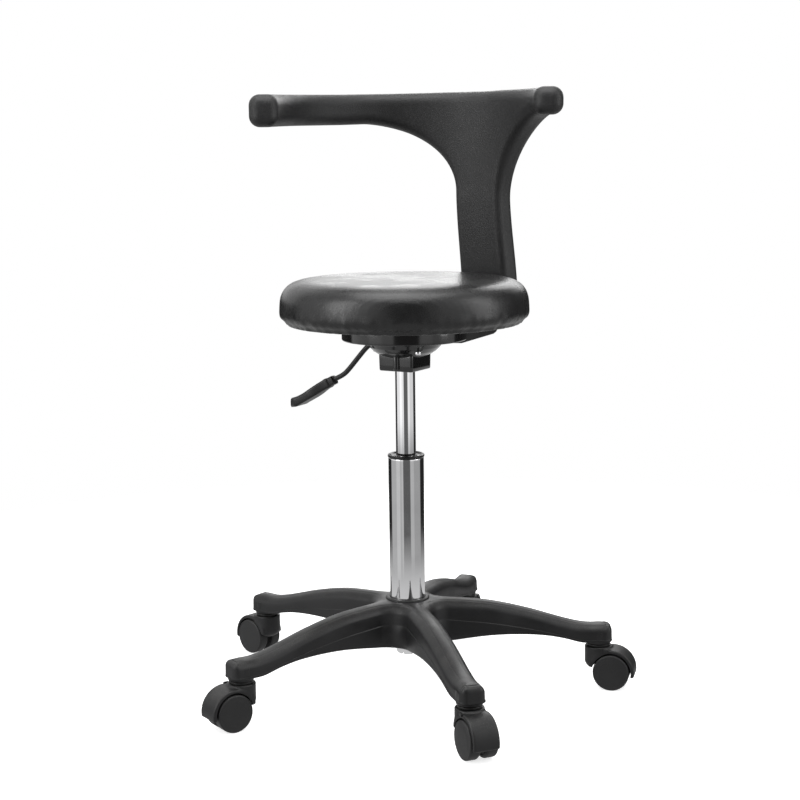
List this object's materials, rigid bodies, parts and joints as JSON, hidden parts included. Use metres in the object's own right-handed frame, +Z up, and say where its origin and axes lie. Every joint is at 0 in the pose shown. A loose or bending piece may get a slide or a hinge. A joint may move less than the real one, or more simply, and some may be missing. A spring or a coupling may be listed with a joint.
{
  "type": "dental operator stool",
  "caption": "Height-adjustable stool on twin-wheel castors with a round padded seat and a curved torso support that swings round it.",
  "frame": {"origin": "on the floor, under the middle of the stool's bounding box; the column's axis is at x = -25.2 mm, y = 2.3 mm", "axes": "+Z up along the column, -Y towards the sitter's front, +X to the right seen from the front"},
  "size_m": [0.6063, 0.6296, 0.8488],
  "materials": {
    "base_nylon": "satin black glass-filled nylon with a fine spark grain",
    "castor_nylon": "satin black moulded nylon",
    "wheel_nylon": "satin charcoal nylon",
    "castor_collar": "dark collar in shade",
    "column_chrome": "bright chrome plate",
    "zinc_steel": "bright zinc-plated steel",
    "bright_screw": "bright plated screw",
    "black_steel": "black powder coat",
    "mechanism_gloss": "gloss black enamel",
    "lever_steel": "satin black painted rod",
    "lever_grip": "satin black moulded grip",
    "seat_leather": "black artificial leather, glossy on top",
    "support_skin": "black integral-skin foam with a fine grain",
    "guide_plastic": "black acetal",
    "white_plastic": "natural acetal",
    "black_rubber": "black rubber",
    "seat_plywood": "plain birch plywood"
  },
  "bodies": {
    "base": {"star_base": "base_nylon", "column_tube": "column_chrome", "guide_bush": "guide_plastic", "column_end_cap": "zinc_steel", "thrust_bearing": "zinc_steel", "castor_stem_1": "castor_collar", "castor_stem_2": "castor_collar", "castor_stem_3": "castor_collar", "castor_stem_4": "castor_collar", "castor_stem_5": "castor_collar"},
    "rod": {"piston_rod": "zinc_steel", "retaining_clip": "zinc_steel", "bump_rubber": "black_rubber", "piston": "white_plastic"},
    "seat": {"gas_cylinder": "column_chrome", "mechanism_housing": "mechanism_gloss", "housing_screw": "bright_screw", "lever_pin": "zinc_steel", "swivel_spindle": "zinc_steel", "lower_glide_ring": "white_plastic", "upper_glide_ring": "white_plastic", "seat_plate": "black_steel", "seat_board": "seat_plywood", "seat_cushion": "seat_leather", "seat_bolt_1": "zinc_steel", "seat_bolt_2": "zinc_steel", "seat_bolt_3": "zinc_steel", "seat_bolt_4": "zinc_steel"},
    "arm": {"arm_turntable": "mechanism_gloss", "arm_strap": "black_steel", "torso_support": "support_skin", "arm_bolt_1": "zinc_steel", "arm_bolt_2": "zinc_steel"},
    "lever": {"lever_rod": "lever_steel", "lever_paddle": "lever_grip"},
    "release_pin": {"release_pin": "zinc_steel"},
    "castor_1": {"castor_body_1": "castor_nylon", "castor_axle_1": "zinc_steel"},
    "wheel_left_1": {"castor_wheel_left_1": "wheel_nylon"},
    "wheel_right_1": {"castor_wheel_right_1": "wheel_nylon"},
    "castor_2": {"castor_body_2": "castor_nylon", "castor_axle_2": "zinc_steel"},
    "wheel_left_2": {"castor_wheel_left_2": "wheel_nylon"},
    "wheel_right_2": {"castor_wheel_right_2": "wheel_nylon"},
    "castor_3": {"castor_body_3": "castor_nylon", "castor_axle_3": "zinc_steel"},
    "wheel_left_3": {"castor_wheel_left_3": "wheel_nylon"},
    "wheel_right_3": {"castor_wheel_right_3": "wheel_nylon"},
    "castor_4": {"castor_body_4": "castor_nylon", "castor_axle_4": "zinc_steel"},
    "wheel_left_4": {"castor_wheel_left_4": "wheel_nylon"},
    "wheel_right_4": {"castor_wheel_right_4": "wheel_nylon"},
    "castor_5": {"castor_body_5": "castor_nylon", "castor_axle_5": "zinc_steel"},
    "wheel_left_5": {"castor_wheel_left_5": "wheel_nylon"},
    "wheel_right_5": {"castor_wheel_right_5": "wheel_nylon"}
  },
  "joints": [
    {"name": "seat_swivel", "type": "hinge", "parent": "base", "child": "rod", "pos_m": [-0.0252, 0.0023, 0.3], "axis": [0, 0, 1], "continuous": true},
    {"name": "seat_lift", "type": "slide", "parent": "rod", "child": "seat", "axis": [0, 0, 1], "range_m": [-0.1, 0.02]},
    {"name": "arm_swivel", "type": "hinge", "parent": "seat", "child": "arm", "pos_m": [-0.0252, 0.0023, 0.515], "axis": [0, 0, 1], "continuous": true},
    {"name": "lever_tilt", "type": "hinge", "parent": "seat", "child": "lever", "pos_m": [-0.06173, 0.02091, 0.4965], "axis": [0.454, 0.891, 0], "range_deg": [0, 6.5], "stiffness_Nm_per_rad": 6},
    {"name": "pin_travel", "type": "slide", "parent": "seat", "child": "release_pin", "axis": [0, 0, 1], "range_m": [-0.006, 0], "stiffness_N_per_m": 1, "springref_m": 0.049},
    {"name": "castor_swivel_1", "type": "hinge", "parent": "base", "child": "castor_1", "pos_m": [0.24771, -0.00485, 0.05], "axis": [0, 0, 1], "continuous": true},
    {"name": "wheel_spin_left_1", "type": "hinge", "parent": "castor_1", "child": "wheel_left_1", "pos_m": [0.26707, -0.00985, 0.026], "axis": [0.2504, 0.9681, 0], "continuous": true},
    {"name": "wheel_spin_right_1", "type": "hinge", "parent": "castor_1", "child": "wheel_right_1", "pos_m": [0.26707, -0.00985, 0.026], "axis": [0.2504, 0.9681, 0], "continuous": true},
    {"name": "castor_swivel_2", "type": "hinge", "parent": "base", "child": "castor_2", "pos_m": [0.05234, -0.25946, 0.05], "axis": [0, 0, 1], "continuous": true},
    {"name": "wheel_spin_left_2", "type": "hinge", "parent": "castor_2", "child": "wheel_left_2", "pos_m": [0.05999, -0.27794, 0.026], "axis": [0.9239, 0.3827, 0], "continuous": true},
    {"name": "wheel_spin_right_2", "type": "hinge", "parent": "castor_2", "child": "wheel_right_2", "pos_m": [0.05999, -0.27794, 0.026], "axis": [0.9239, 0.3827, 0], "continuous": true},
    {"name": "castor_swivel_3", "type": "hinge", "parent": "base", "child": "castor_3", "pos_m": [-0.25019, -0.15233, 0.05], "axis": [0, 0, 1], "continuous": true},
    {"name": "wheel_spin_left_3", "type": "hinge", "parent": "castor_3", "child": "wheel_left_3", "pos_m": [-0.26647, -0.16394, 0.026], "axis": [0.5807, -0.8141, 0], "continuous": true},
    {"name": "wheel_spin_right_3", "type": "hinge", "parent": "castor_3", "child": "wheel_right_3", "pos_m": [-0.26647, -0.16394, 0.026], "axis": [0.5807, -0.8141, 0], "continuous": true},
    {"name": "castor_swivel_4", "type": "hinge", "parent": "base", "child": "castor_4", "pos_m": [-0.24179, 0.16849, 0.05], "axis": [0, 0, 1], "continuous": true},
    {"name": "wheel_spin_left_4", "type": "hinge", "parent": "castor_4", "child": "wheel_left_4", "pos_m": [-0.25622, 0.18233, 0.026], "axis": [-0.6921, -0.7218, 0], "continuous": true},
    {"name": "wheel_spin_right_4", "type": "hinge", "parent": "castor_4", "child": "wheel_right_4", "pos_m": [-0.25622, 0.18233, 0.026], "axis": [-0.6921, -0.7218, 0], "continuous": true},
    {"name": "castor_swivel_5", "type": "hinge", "parent": "base", "child": "castor_5", "pos_m": [0.06593, 0.25964, 0.05], "axis": [0, 0, 1], "continuous": true},
    {"name": "wheel_spin_left_5", "type": "hinge", "parent": "castor_5", "child": "wheel_left_5", "pos_m": [0.06992, 0.27924, 0.026], "axis": [-0.9799, 0.1994, 0], "continuous": true},
    {"name": "wheel_spin_right_5", "type": "hinge", "parent": "castor_5", "child": "wheel_right_5", "pos_m": [0.06992, 0.27924, 0.026], "axis": [-0.9799, 0.1994, 0], "continuous": true}
  ],
  "couplings": [
    {"joint": "pin_travel", "follows": "lever_tilt", "m_per_rad": -0.046}
  ]
}
